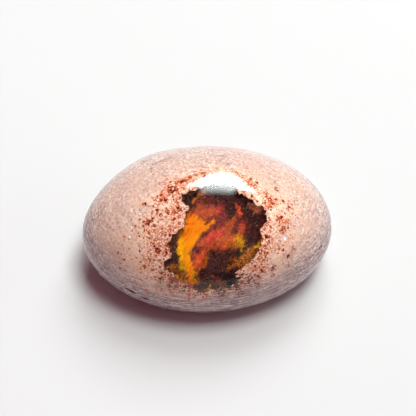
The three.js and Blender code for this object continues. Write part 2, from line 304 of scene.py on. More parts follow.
# The wide scrims light the stone without showing in its polish: bearing and elevation in degrees,
# distance and width in metres, and share of the scrims' brightness
SCRIMS = (
    ("key_scrim", 78, 76.5, 1.0, 0.38, 1.80), ("back_scrim", 20, 52, 0.4, 0.23, 0.88),
    ("right_scrim", 92, 18, 1.0, 0.6, 0.12),
)
# One more scrim stands over the camera and lights only what is seen through the clear opal
FIRE_SCRIM = ("fire_scrim", 180, 64, 1.5, 1.4, 0.48)
LAMP_WHITE = "#F7FFFD"                # a white that is a touch cool
FLOOR_WIDTH = 6                       # in metres
FLOOR_DROP = 0.01 * MM                # the floor lies this much under the ground back


def linear(hex_colour):
    """An sRGB hex colour as linear red, green, blue and alpha."""
    channels = [int(hex_colour[i:i + 2], 16) / 255 for i in (1, 3, 5)]
    return (*(c / 12.92 if c <= 0.04045 else ((c + 0.055) / 1.055) ** 2.4 for c in channels), 1.0)


def smoothstep(low, high, value):
    share = np.clip((value - low) / (high - low), 0, 1)
    return share * share * (3 - 2 * share)


def wander(points, grain, seed):
    """Smooth noise from -1 to 1 at each point, whose bumps are about grain mm across."""
    shift = Vector((seed * 17.3, seed * 5.1, seed * 9.7))
    return np.array([noise.noise(Vector(p) + shift) for p in points / np.array(grain)])


def stirring(points, grain, seed):
    """Smooth noise in two directions at each point."""
    return np.column_stack((wander(points, grain, seed), wander(points, grain, seed + 1)))


def smooth_loop(corners, per_span):
    """A smooth closed line through the corners."""
    before, here, after, beyond = (np.roll(corners, turn, axis=0) for turn in (1, 0, -1, -2))
    t = np.linspace(0, 1, per_span, endpoint=False)[:, None, None]
    loop = here + 0.5 * t * (after - before)
    loop = loop + 0.5 * t ** 2 * (2 * before - 5 * here + 4 * after - beyond)
    loop = loop + 0.5 * t ** 3 * (3 * here - before - 3 * after + beyond)
    return loop.transpose(1, 0, 2).reshape(-1, 2)


def distance_to_line(points, starts, ends):
    """mm from each flat point to the nearest of the segments."""
    run = ends - starts
    away = points[:, None] - starts
    share = np.clip((away * run).sum(-1) / np.maximum((run ** 2).sum(-1), 1e-9), 0, 1)
    return np.linalg.norm(away - share[..., None] * run, axis=-1).min(1)


def signed_distance(points, loop):
    """mm from each flat point to the closed loop, negative inside it."""
    ends = np.roll(loop, -1, axis=0)
    result = np.empty(len(points))
    for part in np.array_split(np.arange(len(points)), max(1, len(points) // 4000)):
        flat = points[part]
        x, y = flat[:, 0:1], flat[:, 1:2]
        rise = np.where(ends[:, 1] == loop[:, 1], 1e-9, ends[:, 1] - loop[:, 1])
        spans = (loop[:, 1] > y) != (ends[:, 1] > y)
        left_of = x < (ends[:, 0] - loop[:, 0]) * (y - loop[:, 1]) / rise + loop[:, 0]
        inside = (spans & left_of).sum(1) % 2 == 1
        result[part] = distance_to_line(flat, loop, ends) * np.where(inside, -1, 1)
    return result


class Stone:
    """The polished form and its window, worked out in mm for directions from the stone's heart."""

    def __init__(self, settings):
        self.girdle = settings.girdle_height / MM
        self.underside = self.girdle / settings.back_share
        self.fullness = settings.fullness
        self.edge = settings.back_edge / MM
        self.height = HIGH[2]
        self.scale, self.middle = np.ones(2), np.zeros(2)
        bearings = np.radians(np.arange(PLAN_STEPS) * 360 / PLAN_STEPS)
        ring = np.stack((np.cos(bearings), np.sin(bearings), np.zeros(PLAN_STEPS)), axis=1)
        plan = self.surface(ring)[:, :2]
        self.scale = (HIGH - LOW)[:2] / np.ptp(plan, axis=0)
        self.middle = (plan.min(0) + plan.max(0)) / 2
        self.loop = smooth_loop(np.array(WINDOW_EDGE), EDGE_PER_SPAN)
        lean_cos, lean_sin = math.cos(WINDOW_LEAN), math.sin(WINDOW_LEAN)
        self.axes = np.array(((1, 0, 0), (0, lean_cos, lean_sin), (0, -lean_sin, lean_cos)))

    def surface(self, directions):
        """The polished surface: a full oval dome, a flat ground back and a rounded edge between."""
        half = (HIGH - LOW)[:2] / 2
        flat = directions[:, :2]
        reach = np.linalg.norm(flat, axis=1)
        share = reach ** self.fullness
        bearing = np.degrees(np.arctan2(flat[:, 1], flat[:, 0]))
        swell = np.ones(len(flat))
        for at, spread, amount in LUMPS:
            away = (bearing - at + 180) % 360 - 180
            swell += amount * np.exp(-(away / spread) ** 2) * share ** 2
        outward = flat / np.maximum(reach, 1e-9)[:, None]
        plan = outward * (share * swell)[:, None] * half
        rise = directions[:, 2] * np.where(directions[:, 2] > 0, self.height - self.girdle, self.underside)
        raw = self.girdle + rise
        rounded = (raw + self.edge) ** 2 / (4 * self.edge)
        height = np.where(raw > self.edge, raw, np.where(raw < -self.edge, 0, rounded))
        return np.column_stack(((plan - self.middle) * self.scale, height))

    def normals(self, directions):
        """The polished surface's own outward normals."""
        level = np.where(np.abs(directions[:, :1]) < 0.6, (1.0, 0.0, 0.0), (0.0, 1.0, 0.0))
        side = np.cross(directions, level)
        slopes = [self.surface(directions + 1e-4 * run) - self.surface(directions - 1e-4 * run)
                  for run in (side, np.cross(directions, side))]
        upright = np.cross(*slopes)
        upright /= np.maximum(np.linalg.norm(upright, axis=1), 1e-12)[:, None]
        return upright * np.sign((upright * directions).sum(1))[:, None]

    def across_and_up(self, points):
        """Each point across, up and out of the window's leaning face."""
        return (points - WINDOW_MIDDLE) @ self.axes.T

    def edge_distance(self, points, ragged=True):
        """mm from the window's edge along its face, negative in the opal."""
        local = self.across_and_up(points)
        far = np.linalg.norm(local[:, :2], axis=1) + FAR * (local[:, 2] < BEHIND)
        result = np.minimum(far, FAR) - WINDOW_REACH
        near = far < HALO_REACH
        flat = local[near][:, :2]
        if ragged:
            spot = points[near]
            for grain, push, seed in RAGGEDNESS:
                flat = flat + push * stirring(spot, grain, seed)
        result[near] = signed_distance(flat, self.loop)
        return result

    def halo(self, points, edge):
        """1 at the window's edge, fading to 0 where the speckled rock ends, and how warm the rock is."""
        local = self.across_and_up(points)
        bearing = np.arctan2(local[:, 1], local[:, 0])
        side = np.cos(bearing)
        upright = np.where(local[:, 1] > 0, HALO_ABOVE, HALO_BELOW)
        width = upright + (np.where(side < 0, HALO_LEFT, HALO_RIGHT) - upright) * side ** 2
        near = edge < HALO_REACH
        band = np.zeros(len(points))
        band[near] = 1 - smoothstep(0.5, 1.6, stroke_reach(local[near][:, :2], RUST_BAND))
        warmth = 1 - smoothstep(0.0, 1.9, edge / width)
        return np.maximum(1 - smoothstep(0.0, 1.0, edge / width), 1.15 * band), warmth


def stroke_reach(points, line):
    """How far each flat point is from a stroke's middle, in shares of the stroke's half width."""
    line = np.array(line)
    starts, run = line[:-1, :2], np.diff(line[:, :2], axis=0)
    away = points[:, None] - starts
    share = np.clip((away * run).sum(-1) / np.maximum((run ** 2).sum(-1), 1e-9), 0, 1)
    half_width = line[:-1, 2] + share * np.diff(line[:, 2])
    return (np.linalg.norm(away - share[..., None] * run, axis=-1) / half_width).min(1)


def paint_fire(flat):
    """The fire's colour and speckle at each point of the hollow's floor."""
    spot = np.column_stack((flat, np.zeros(len(flat))))
    fibre = np.array((math.cos(FIBRE_SLANT), math.sin(FIBRE_SLANT)))
    across = np.array((-fibre[1], fibre[0]))
    drawn = np.column_stack((flat @ fibre, flat @ across, np.zeros(len(flat))))
    feather = sum(push * wander(drawn, grain, seed) for grain, push, seed in FEATHERS)
    warped = flat + feather[:, None] * fibre
    warped += sum(push * stirring(spot, grain, seed) for grain, push, seed in FIRE_STIRS)
    shade, speckled = FINISHES["maroon"]
    colour = np.tile(linear(shade), (len(flat), 1))
    speckle = np.full(len(flat), speckled)
    for finish, softness, line in FIRE:
        away = stroke_reach(warped, line)
        mask = 1 - smoothstep(1 - softness, 1 + softness * 0.7, away)
        shade, speckled = FINISHES[finish]
        colour += mask[:, None] * (linear(shade) - colour)
        speckle += mask * (speckled - speckle)
    return colour, speckle


def floor_depth(flat, edge):
    """How far the hollow's floor lies under the polish, in mm: ledges that run into each other."""
    weight, depth = np.full(len(flat), FLOOR_PULL), np.full(len(flat), FLOOR_PULL * FLOOR_DEPTH)
    for across, up, reach, below in LEDGES:
        pull = np.exp(-((flat - (across, up)) ** 2).sum(1) / reach ** 2)
        weight += pull
        depth += pull * below
    wall = 0.5 * smoothstep(0.0, WALL_WIDTH, -edge) + 0.5 * smoothstep(0.05, SLOPE_FOOT, -edge)
    return depth / weight * wall


def blots(flat, places):
    """How deep each flat point lies in the nearest of some round blots, 0 to 1."""
    depth = np.zeros(len(flat))
    for across, up, radius in places:
        away = ((flat - (across, up)) ** 2).sum(1) / radius ** 2
        depth = np.maximum(depth, np.exp(-away))
    return depth


def refined_sphere(stone, zones):
    """A sphere of directions, split finer zone by zone: each zone says which faces it takes."""
    bm = bmesh.new()
    bmesh.ops.create_icosphere(bm, subdivisions=6, radius=1)
    for zone in zones:
        middles = np.array([f.calc_center_median().normalized() for f in bm.faces])
        taken = zone(stone, stone.surface(middles))
        bm.faces.ensure_lookup_table()
        edges = {e for face, take in zip(bm.faces, taken) if take for e in face.edges}
        bmesh.ops.subdivide_edges(bm, edges=list(edges), cuts=1, use_grid_fill=True)
        bmesh.ops.triangulate(bm, faces=bm.faces)
        for vert in bm.verts:
            vert.co.normalize()
    return bm


def slit_depth(points, slits):
    """How far polishing pits sink each point, in mm, and how far inside a pit it is, 0 to 1."""
    depth, inside = np.zeros(len(points)), np.zeros(len(points))
    for middle, end, half_width, below in slits:
        middle, end = np.array(middle), np.array(end)
        along = end - middle
        half_length = np.linalg.norm(along)
        along = along / half_length
        away = points - middle
        run = away @ along
        side = np.linalg.norm(away - run[:, None] * along, axis=1)
        share = 1 - (run / (half_length + half_width)) ** 2 - (side / half_width) ** 2
        share = np.clip(share, 0, 1)
        depth = np.maximum(depth, below * np.sqrt(share))
        inside = np.maximum(inside, smoothstep(0, 0.35, share))
    return depth, inside


def near_slits(points, margin):
    near = np.zeros(len(points), bool)
    for middle, end, half_width, _ in SLITS + CREVICES + VUGS:
        reach = np.linalg.norm(np.array(end) - np.array(middle)) + half_width + margin
        near |= np.linalg.norm(points - np.array(middle), axis=1) < reach
    return near


def dome_zone(stone, points):
    return points[:, 2] > DOME_FOOT


def halo_zone(stone, points):
    near_window = stone.edge_distance(points, ragged=False) < FINE_EDGE
    return near_window & (points[:, 2] > FRONT_FOOT) | near_slits(points, FINE_PITS)


def rim_zone(stone, points):
    near_rim = np.abs(stone.edge_distance(points)) < FINEST_EDGE
    return near_rim & (points[:, 2] > FRONT_FOOT) | near_slits(points, FINEST_PITS)


def coordinates(bm):
    return np.array([v.co for v in bm.verts])


def place(bm, points):
    """Moves every vertex to its point, given in mm."""
    for vert, point in zip(bm.verts, points * MM):
        vert.co = point


def store(mesh, name, kind, values):
    attribute = mesh.attributes.new(name, kind, "POINT")
    key = "color" if kind == "FLOAT_COLOR" else "value"
    attribute.data.foreach_set(key, np.asarray(values, np.float32).ravel())


def keep_polish(bm, normals):
    """Notes the polish's own normals on the vertices, for new_piece."""
    layer = bm.verts.layers.float_vector.new("polish")
    for vert, normal in zip(bm.verts, normals):
        vert[layer] = normal
    return layer


def use_polish(mesh):
    """Shades the faces that are all polish by the polish's own normals."""
    normals = np.empty(len(mesh.vertices) * 3, np.float32)
    mesh.attributes["polish"].data.foreach_get("vector", normals)
    normals = normals.reshape(-1, 3)
    corner, start, total = (np.empty(size, np.int32) for size in (
        len(mesh.loops), len(mesh.polygons), len(mesh.polygons)))
    mesh.loops.foreach_get("vertex_index", corner)
    mesh.polygons.foreach_get("loop_start", start)
    mesh.polygons.foreach_get("loop_total", total)
    polished = np.minimum.reduceat(np.linalg.norm(normals, axis=1)[corner], start) > 0.5
    mesh.normals_split_custom_set(normals[corner] * np.repeat(polished, total)[:, None])
    mesh.attributes.remove(mesh.attributes["polish"])


def new_piece(bm, name, materials):
    """Turns a bmesh into an object at the origin, smooth but for its sharp edges."""
    bm.normal_update()
    for face in bm.faces:
        face.smooth = True
    for edge in bm.edges:
        edge.smooth = len(edge.link_faces) == 2 and edge.calc_face_angle(0) < SHARP
    mesh = bpy.data.meshes.new(name)
    bm.to_mesh(mesh)
    bm.free()
    if "polish" in mesh.attributes:
        use_polish(mesh)
    for material in materials:
        mesh.materials.append(material)
    piece = bpy.data.objects.new(name, mesh)
    bpy.context.scene.collection.objects.link(piece)
    return piece


def add_node(tree, kind, inputs=None, **settings):
    """Adds a shader node with its settings, and links or sets its inputs by name or number."""
    added = tree.nodes.new(kind)
    for name, value in settings.items():
        setattr(added, name, value)
    for key, value in (inputs or {}).items():
        if isinstance(value, bpy.types.NodeSocket):
            tree.links.new(value, added.inputs[key])
        else:
            added.inputs[key].default_value = value
    return added


def new_material(name):
    material = bpy.data.materials.new(name)
    material.use_nodes = True
    material.node_tree.nodes.clear()
    return material, material.node_tree


def polished_rhyolite(colours):
    """Polished rhyolite: a pale pink-beige lava, fine grained, with thin flow lines lying level.

    Low on the flank it is painted a darker, greyer mauve: partly the rock's own tone, partly painted
    shade. Round the opal it is cream, crowded with brick-red dots and rings of iron oxide.
    """
    material, tree = new_material("polished_rhyolite")
    place_in = add_node(tree, "ShaderNodeTexCoord").outputs["Object"]
    in_mm = add_node(tree, "ShaderNodeMapping", {"Vector": place_in, "Scale": (1 / MM,) * 3}).outputs[0]
    height = add_node(tree, "ShaderNodeSeparateXYZ", {0: in_mm}).outputs["Z"]
    halo, warmth, iron, bruise, pit_shade, vug_white_and_glint = (
        add_node(tree, "ShaderNodeAttribute", attribute_name=name).outputs["Fac"]
        for name in ("halo", "warmth", "iron", "bruise", "pit_shade", "vug_white_and_glint"))

    # The coats of colour, each laid over the ones before it: where it lies, and its colour
    cloud = add_node(tree, "ShaderNodeTexNoise", {
        "Vector": in_mm, "Scale": 1 / CLOUDS, "Detail": 3.0}).outputs["Fac"]
    clouded = add_node(tree, "ShaderNodeMapRange", {0: cloud, 1: 0.35, 2: 0.65}).outputs[0]
    # Painted shade, partly the rock's own tone: the rock turns a darker, greyer mauve down the flank
    low_flank_tone_and_shade = add_node(tree, "ShaderNodeMapRange", {
        0: height, 1: MAUVE_AND_SHADE_TOP, 2: MAUVE_AND_SHADE_FOOT, 3: 0.0, 4: 0.75}).outputs[0]
    coats = [(clouded, "beige"), (warmth, "peach"), (low_flank_tone_and_shade, "heather_and_shade"), (halo, "cream")]

    # Flow texture: level lenses from fine grains to long lines, plainer on the dome, stronger in patches
    patches = add_node(tree, "ShaderNodeMapRange", {0: cloud, 1: 0.38, 2: 0.62, 3: 0.6, 4: 1.2}).outputs[0]
    for size, low, high, on_dome, on_flank, colour in FLOW:
        lens = add_node(tree, "ShaderNodeMapping", {
            "Vector": place_in, "Scale": tuple(1 / (MM * side) for side in size)}).outputs[0]
        flecks = add_node(tree, "ShaderNodeTexNoise", {
            "Vector": lens, "Scale": 1.0, "Detail": 3.0, "Distortion": 0.4}).outputs["Fac"]
        strength = add_node(tree, "ShaderNodeMapRange", {
            0: height, 1: FLANK_TOP, 2: FLANK_FOOT, 3: on_dome, 4: on_flank}).outputs[0]
        strength = add_node(tree, "ShaderNodeMath", {
            0: strength, 1: patches}, operation="MULTIPLY").outputs[0]
        mask = add_node(tree, "ShaderNodeMapRange", {
            0: flecks, 1: low, 2: high, 3: 0.0, 4: strength}).outputs[0]
        coats.append((mask, colour))

    # The halo's iron: a haze, a fine net, then dots and rings that are thicker where the iron is rich
    stir = add_node(tree, "ShaderNodeTexNoise", {"Vector": in_mm, "Scale": 1 / STIR, "Detail": 2.0})
    stirred = add_node(tree, "ShaderNodeVectorMath", {
        0: stir.outputs["Color"], 1: (STIR_PUSH,) * 3, 2: in_mm}, operation="MULTIPLY_ADD").outputs[0]
    clump = add_node(tree, "ShaderNodeTexNoise", {"Vector": in_mm, "Scale": 1 / CLUMPS, "Detail": 3.0})
    clumped = add_node(tree, "ShaderNodeMapRange", {
        0: clump.outputs["Fac"], 1: 0.36, 2: 0.58, 3: 0.55, 4: 1.25}).outputs[0]
    rich = add_node(tree, "ShaderNodeMath", {
        0: halo, 1: clumped, 2: iron}, operation="MULTIPLY_ADD").outputs[0]
    net = add_node(tree, "ShaderNodeTexVoronoi", {
        "Vector": stirred, "Scale": 1 / NET}, feature="DISTANCE_TO_EDGE")
    net_line = add_node(tree, "ShaderNodeMapRange", {
        0: net.outputs["Distance"], 1: 0.03, 2: 0.18, 3: 0.70, 4: 0.0}).outputs[0]
    for strength, colour in ((HAZE, "haze"), (net_line, "terracotta")):
        mask = add_node(tree, "ShaderNodeMath", {
            0: rich, 1: strength}, operation="MULTIPLY", use_clamp=True).outputs[0]
        coats.append((mask, colour))
    for spacing, colour, chance, ring, half_width, soft in SPECKS:
        cells = add_node(tree, "ShaderNodeTexVoronoi", {"Vector": stirred, "Scale": 1 / spacing})
        luck = add_node(tree, "ShaderNodeSeparateColor", {0: cells.outputs["Color"]})
        odds = add_node(tree, "ShaderNodeMath", {
            0: rich, 1: chance, 2: luck.outputs[0]}, operation="MULTIPLY_ADD").outputs[0]
        taken = add_node(tree, "ShaderNodeMapRange", {0: odds, 1: 0.97, 2: 1.03, 3: 0.0, 4: 1.0}).outputs[0]
        off_ring = add_node(tree, "ShaderNodeMath", {
            0: cells.outputs["Distance"], 1: ring}, operation="SUBTRACT").outputs[0]
        away = add_node(tree, "ShaderNodeMath", {0: off_ring}, operation="ABSOLUTE").outputs[0]
        width = add_node(tree, "ShaderNodeMapRange", {
            0: luck.outputs[1], 1: 0.0, 2: 1.0, 3: 0.5 * half_width, 4: half_width}).outputs[0]
        inside = add_node(tree, "ShaderNodeMath", {0: width, 1: away}, operation="SUBTRACT").outputs[0]
        dot = add_node(tree, "ShaderNodeMapRange", {0: inside, 1: 0.0, 2: soft, 3: 0.0, 4: 0.95}).outputs[0]
        mask = add_node(tree, "ShaderNodeMath", {0: dot, 1: taken}, operation="MULTIPLY").outputs[0]
        coats.append((mask, colour))

    # Clots and bruises broken into crumbs, then the vugs' white, partly painted glint, and the pits' near
    # black, which is painted shade
    crumbs = add_node(tree, "ShaderNodeTexNoise", {
        "Vector": in_mm, "Scale": 1 / CRUMBS, "Detail": 3.0}).outputs["Fac"]
    broken = add_node(tree, "ShaderNodeMapRange", {0: crumbs, 1: 0.3, 2: 0.7, 3: 0.2, 4: 1.5}).outputs[0]
    for where, low, high, strength, colour in (
            (iron, 0.40, 0.75, 0.90, "brick"), (iron, 0.65, 0.95, 0.95, "oxblood"),
            (bruise, 0.20, 0.90, 0.65, "mauve"), (bruise, 0.68, 0.88, 0.90, "dusk")):
        depth = add_node(tree, "ShaderNodeMath", {0: where, 1: broken}, operation="MULTIPLY").outputs[0]
        mask = add_node(tree, "ShaderNodeMapRange", {
            0: depth, 1: low, 2: high, 3: 0.0, 4: strength}).outputs[0]
        coats.append((mask, colour))
    coats += [(vug_white_and_glint, "vug_white_and_glint"), (pit_shade, "pit_shade")]

    ground = linear(colours["pink"])
    for mask, colour in coats:
        ground = add_node(tree, "ShaderNodeMix", {
            0: mask, 6: ground, 7: linear(colours[colour])}, data_type="RGBA").outputs[2]

    # A high polish, a little uneven over the grain, and the matt back where the stone was ground flat
    polish = add_node(tree, "ShaderNodeMapRange", {0: crumbs, 1: 0.3, 2: 0.7, 3: 0.05, 4: 0.10}).outputs[0]
    matt = add_node(tree, "ShaderNodeMapRange", {
        0: height, 1: MATT_BACK, 2: POLISH_FOOT, 3: 0.55, 4: 0.0}).outputs[0]
    bump = add_node(tree, "ShaderNodeBump", {
        "Height": crumbs, "Strength": 0.15, "Distance": POLISH_RELIEF}).outputs[0]
    shader = add_node(tree, "ShaderNodeBsdfPrincipled", {
        "Base Color": ground, "Normal": bump,
        "Roughness": add_node(tree, "ShaderNodeMath", {0: polish, 1: matt}).outputs[0]})
    add_node(tree, "ShaderNodeOutputMaterial", {"Surface": shader.outputs[0]})
    return material


def hollow_floor(colours):
    """The wall and floor of the rock's hollow, where the opal's fire shows: broad flames of orange
    and red drawn out in fine slanting fibres, on dark brown, with speckled ledges."""
    material, tree = new_material("hollow_floor_with_fire")
    place_in = add_node(tree, "ShaderNodeTexCoord").outputs["Object"]
    in_mm = add_node(tree, "ShaderNodeMapping", {"Vector": place_in, "Scale": (1 / MM,) * 3}).outputs[0]
    fire = add_node(tree, "ShaderNodeAttribute", attribute_name="fire").outputs["Color"]
    speckle = add_node(tree, "ShaderNodeAttribute", attribute_name="speckle").outputs["Fac"]

    # Fibres that slant up to the right and sway
    sway = add_node(tree, "ShaderNodeTexNoise", {"Vector": in_mm, "Scale": 1 / SWAY, "Detail": 2.0})
    swayed = add_node(tree, "ShaderNodeVectorMath", {
        0: sway.outputs["Color"], 1: (SWAY_PUSH,) * 3, 2: in_mm}, operation="MULTIPLY_ADD").outputs[0]
    turned = add_node(tree, "ShaderNodeMapping", {
        "Vector": swayed, "Rotation": (0, 0, -FIBRE_SLANT)}).outputs[0]
    drawn = add_node(tree, "ShaderNodeMapping", {
        "Vector": turned, "Scale": (1 / FIBRE_LENGTH, 1 / FIBRE_WIDTH, 1 / FIBRE_LENGTH)}).outputs[0]
    fibres = add_node(tree, "ShaderNodeTexNoise", {
        "Vector": drawn, "Scale": 1.0, "Detail": 3.0}).outputs["Fac"]
    light = add_node(tree, "ShaderNodeMapRange", {0: fibres, 1: 0.3, 2: 0.7, 3: 0.80, 4: 1.15}).outputs[0]
    lit = add_node(tree, "ShaderNodeMix", {0: 1.0, 6: fire, 7: light},
                   data_type="RGBA", blend_type="MULTIPLY").outputs[2]

    # Mottles and grains, strongest on the dark and speckled ledges
    for size, detail, dark, bright in MOTTLES:
        blotch = add_node(tree, "ShaderNodeTexNoise", {
            "Vector": swayed, "Scale": 1 / size, "Detail": detail, "Roughness": 0.6}).outputs["Fac"]
        light = add_node(tree, "ShaderNodeMapRange", {
            0: blotch, 1: 0.36, 2: 0.64, 3: dark, 4: bright}).outputs[0]
        mottled = add_node(tree, "ShaderNodeMix", {0: 1.0, 6: lit, 7: light},
                           data_type="RGBA", blend_type="MULTIPLY").outputs[2]
        lit = add_node(tree, "ShaderNodeMix", {0: speckle, 6: lit, 7: mottled}, data_type="RGBA").outputs[2]

    # Sparkles where the dark ledges catch the light, orange to sage
    sparks = add_node(tree, "ShaderNodeTexVoronoi", {"Vector": in_mm, "Scale": 1 / SPARK_SPACING})
    luck = add_node(tree, "ShaderNodeSeparateColor", {0: sparks.outputs["Color"]})
    mask = add_node(tree, "ShaderNodeMapRange", {
        0: luck.outputs[0], 1: 0.80, 2: 0.84, 3: 0.0, 4: 0.9}).outputs[0]
    small = add_node(tree, "ShaderNodeMapRange", {
        0: sparks.outputs["Distance"], 1: 0.25, 2: 0.5, 3: 1.0, 4: 0.0}).outputs[0]
    for share in (small, speckle):
        mask = add_node(tree, "ShaderNodeMath", {0: mask, 1: share}, operation="MULTIPLY").outputs[0]
    spark = add_node(tree, "ShaderNodeMix", {
        0: luck.outputs[1], 6: linear(colours["spark"]), 7: linear(colours["sage"])},
        data_type="RGBA").outputs[2]
    lit = add_node(tree, "ShaderNodeMix", {0: mask, 6: lit, 7: spark}, data_type="RGBA").outputs[2]
    shader = add_node(tree, "ShaderNodeBsdfPrincipled", {
        "Base Color": lit, "Roughness": 0.7, "Specular IOR Level": 0.1})
    add_node(tree, "ShaderNodeOutputMaterial", {"Surface": shader.outputs[0]})
    return material


def clear_fire_opal(settings):
    """Fire opal, polished: hydrated silica, as clear as weak tea, that lets red and orange through."""
    material, tree = new_material("clear_fire_opal")
    shader = add_node(tree, "ShaderNodeBsdfPrincipled", {
        "Base Color": (1, 1, 1, 1), "Roughness": 0.0, "IOR": settings.ior, "Transmission Weight": 1.0})
    body = add_node(tree, "ShaderNodeVolumeAbsorption", {
        "Color": (*settings.tint, 1), "Density": settings.depth_of_colour})
    add_node(tree, "ShaderNodeOutputMaterial", {
        "Surface": shader.outputs[0], "Volume": body.outputs[0]})
    return material


class StoneSettings(bpy.types.PropertyGroup):
    girdle_height: bpy.props.FloatProperty(
        name="Girdle height", description="Height at which the stone is widest",
        default=4.37 * MM, unit="LENGTH")
    back_share: bpy.props.FloatProperty(
        name="Back share", description="How far down its lower half the stone is ground off flat",
        default=0.62, min=0.1, max=0.95)
    fullness: bpy.props.FloatProperty(
        name="Fullness", description="Under 1 fills out the shoulders of the dome", default=0.92)
    back_edge: bpy.props.FloatProperty(
        name="Back edge", description="Half height of the rounding between flank and back",
        default=0.3 * MM, unit="LENGTH")


class OpalSettings(bpy.types.PropertyGroup):
    tint: bpy.props.FloatVectorProperty(
        name="Tint", description="Colour that the clear opal lets through",
        subtype="COLOR", default=linear("#F8CC70")[:3], min=0, max=1)
    depth_of_colour: bpy.props.FloatProperty(
        name="Depth of colour", description="How strongly a metre of opal takes up light", default=260)
    ior: bpy.props.FloatProperty(name="IOR", description="Refractive index of fire opal", default=1.44)
    recess: bpy.props.FloatProperty(
        name="Recess", description="How far the opal's polish lies under the rock's",
        default=0.012 * MM, unit="LENGTH")
    bite: bpy.props.FloatProperty(
        name="Bite", description="How far the opal runs into the rock, so that no air shows between",
        default=0.1 * MM, unit="LENGTH")


class StageSettings(bpy.types.PropertyGroup):
    floor_colour: bpy.props.FloatVectorProperty(
        name="Floor colour", description="Pale plain floor", subtype="COLOR",
        default=linear("#D1D1D1")[:3], min=0, max=1)
    room: bpy.props.FloatVectorProperty(
        name="Room", description="Tint of the dim light from all round", subtype="COLOR",
        default=linear("#FFA4BC")[:3], min=0, max=1)
    sky: bpy.props.FloatProperty(
        name="Room light", description="Brightness of the dim light from all round", default=0.21)
    softbox: bpy.props.FloatProperty(
        name="Softbox", description="Brightness of the soft lamp behind the stone", default=33)
    scrims: bpy.props.FloatProperty(
        name="Scrims", description="Brightness of the wide scrims round the stone", default=9.6)


class CABOCHON_OT_rhyolite(bpy.types.Operator):
    """Build the polished rhyolite, with its pits and the hollow that holds the opal"""
    bl_idname = "cabochon.rhyolite"
    bl_label = "Rhyolite matrix"

    def execute(self, context):
        stone = Stone(context.scene.cabochon_stone)
        bm = refined_sphere(stone, (dome_zone, halo_zone, rim_zone))
        directions = coordinates(bm)
        surface, normals = stone.surface(directions), stone.normals(directions)
        edge = stone.edge_distance(surface)
        front = surface[:, 2] > FRONT_FOOT
        edge[~front] = FAR
        halo, warmth = stone.halo(surface, edge)
        # The pits' mask carries painted shade: the material paints them near black
        sink, pit_shade = slit_depth(surface, SLITS + CREVICES)
        # The vugs' mask carries their white lining, which is partly painted glint
        vug_sink, vug_white_and_glint = slit_depth(surface, VUGS)
        sink = np.maximum(sink, vug_sink)
        points = surface - normals * sink[:, None]
        flat = stone.across_and_up(surface)[:, :2]
        flat += BLOT_STIR * stirring(surface, BLOT_GRAIN, 12)

        inside = edge < 0
        local = stone.across_and_up(surface[inside])
        colour, speckle = paint_fire(local[:, :2])
        grit = FLOOR_RELIEF * wander(surface[inside], FLOOR_GRAIN, 9)
        fall = floor_depth(local[:, :2], edge[inside]) + grit
        points[inside] = surface[inside] - np.maximum(fall, SHALLOWEST)[:, None] * stone.axes[2]
        place(bm, points)
        keep_polish(bm, normals * (~inside & (sink == 0) & (surface[:, 2] > POLISH_FOOT))[:, None])

        bm.verts.index_update()
        for face in bm.faces:
            face.material_index = int(any(inside[v.index] for v in face.verts))
        # The wall is painted char-dark: partly the opal's own dark edge, partly painted shade on the steep
        # wall
        rim_char_and_shade = linear(FINISHES["char"][0])
        fire, speckles = np.tile(rim_char_and_shade, (len(points), 1)), np.zeros(len(points))
        clear_of_rim = smoothstep(0.0, WALL_WIDTH, -edge[inside])[:, None]
        fire[inside] += clear_of_rim * (colour - rim_char_and_shade)
        speckles[inside] = speckle
        piece = new_piece(bm, "rhyolite_matrix_polished", (
            polished_rhyolite(ROCK_COLOURS), hollow_floor(ROCK_COLOURS)))
        patterns = {
            "halo": halo, "warmth": warmth, "pit_shade": pit_shade, "vug_white_and_glint": vug_white_and_glint, "speckle": speckles,
            "iron": blots(flat, CLOTS) * front, "bruise": blots(flat, BRUISES) * front,
        }
        for name, values in patterns.items():
            store(piece.data, name, "FLOAT", values)
        store(piece.data, "fire", "FLOAT_COLOR", fire)
        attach(piece, "root")
        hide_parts("rhyolite_matrix")
        return {"FINISHED"}


class CABOCHON_OT_opal(bpy.types.Operator):
    """Build the clear fire opal that fills the hollow, flush with the polish"""
    bl_idname = "cabochon.opal"
    bl_label = "Fire opal"

    def execute(self, context):
        stone = Stone(context.scene.cabochon_stone)
        settings = context.scene.cabochon_opal
        bm = refined_sphere(stone, (dome_zone, halo_zone))
        directions = coordinates(bm)
        surface, normals = stone.surface(directions), stone.normals(directions)
        bite = settings.bite / MM
        edge = stone.edge_distance(surface)
        keep = (edge < bite + CUT_SLACK) & (surface[:, 2] > FRONT_FOOT)
        place(bm, surface - normals * settings.recess / MM)
        polish = keep_polish(bm, normals)
        bmesh.ops.delete(bm, geom=[v for v, kept in zip(bm.verts, keep) if not kept], context="VERTS")
        made = bmesh.ops.extrude_face_region(bm, geom=list(bm.faces))
        under = [item for item in made["geom"] if isinstance(item, bmesh.types.BMVert)]
        spots = np.array([v.co for v in under]) / MM
        edge = stone.edge_distance(spots)
        local = stone.across_and_up(spots)
        fall = floor_depth(local[:, :2], np.minimum(edge, -WALL_WIDTH)) + bite
        for vert, drop in zip(under, fall):
            vert.co -= Vector(stone.axes[2] * drop * MM)
            vert[polish] = (0, 0, 0)
        bmesh.ops.recalc_face_normals(bm, faces=bm.faces)
        piece = new_piece(bm, "fire_opal_clear", (clear_fire_opal(settings),))
        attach(piece, "root")
        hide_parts("fire_opal")
        return {"FINISHED"}


def toward(bearing, elevation):
    """The direction of a place in the studio, its bearing turned from behind the stone to the right."""
    return Vector((math.sin(bearing) * math.cos(elevation), math.cos(bearing) * math.cos(elevation),
                   math.sin(elevation)))


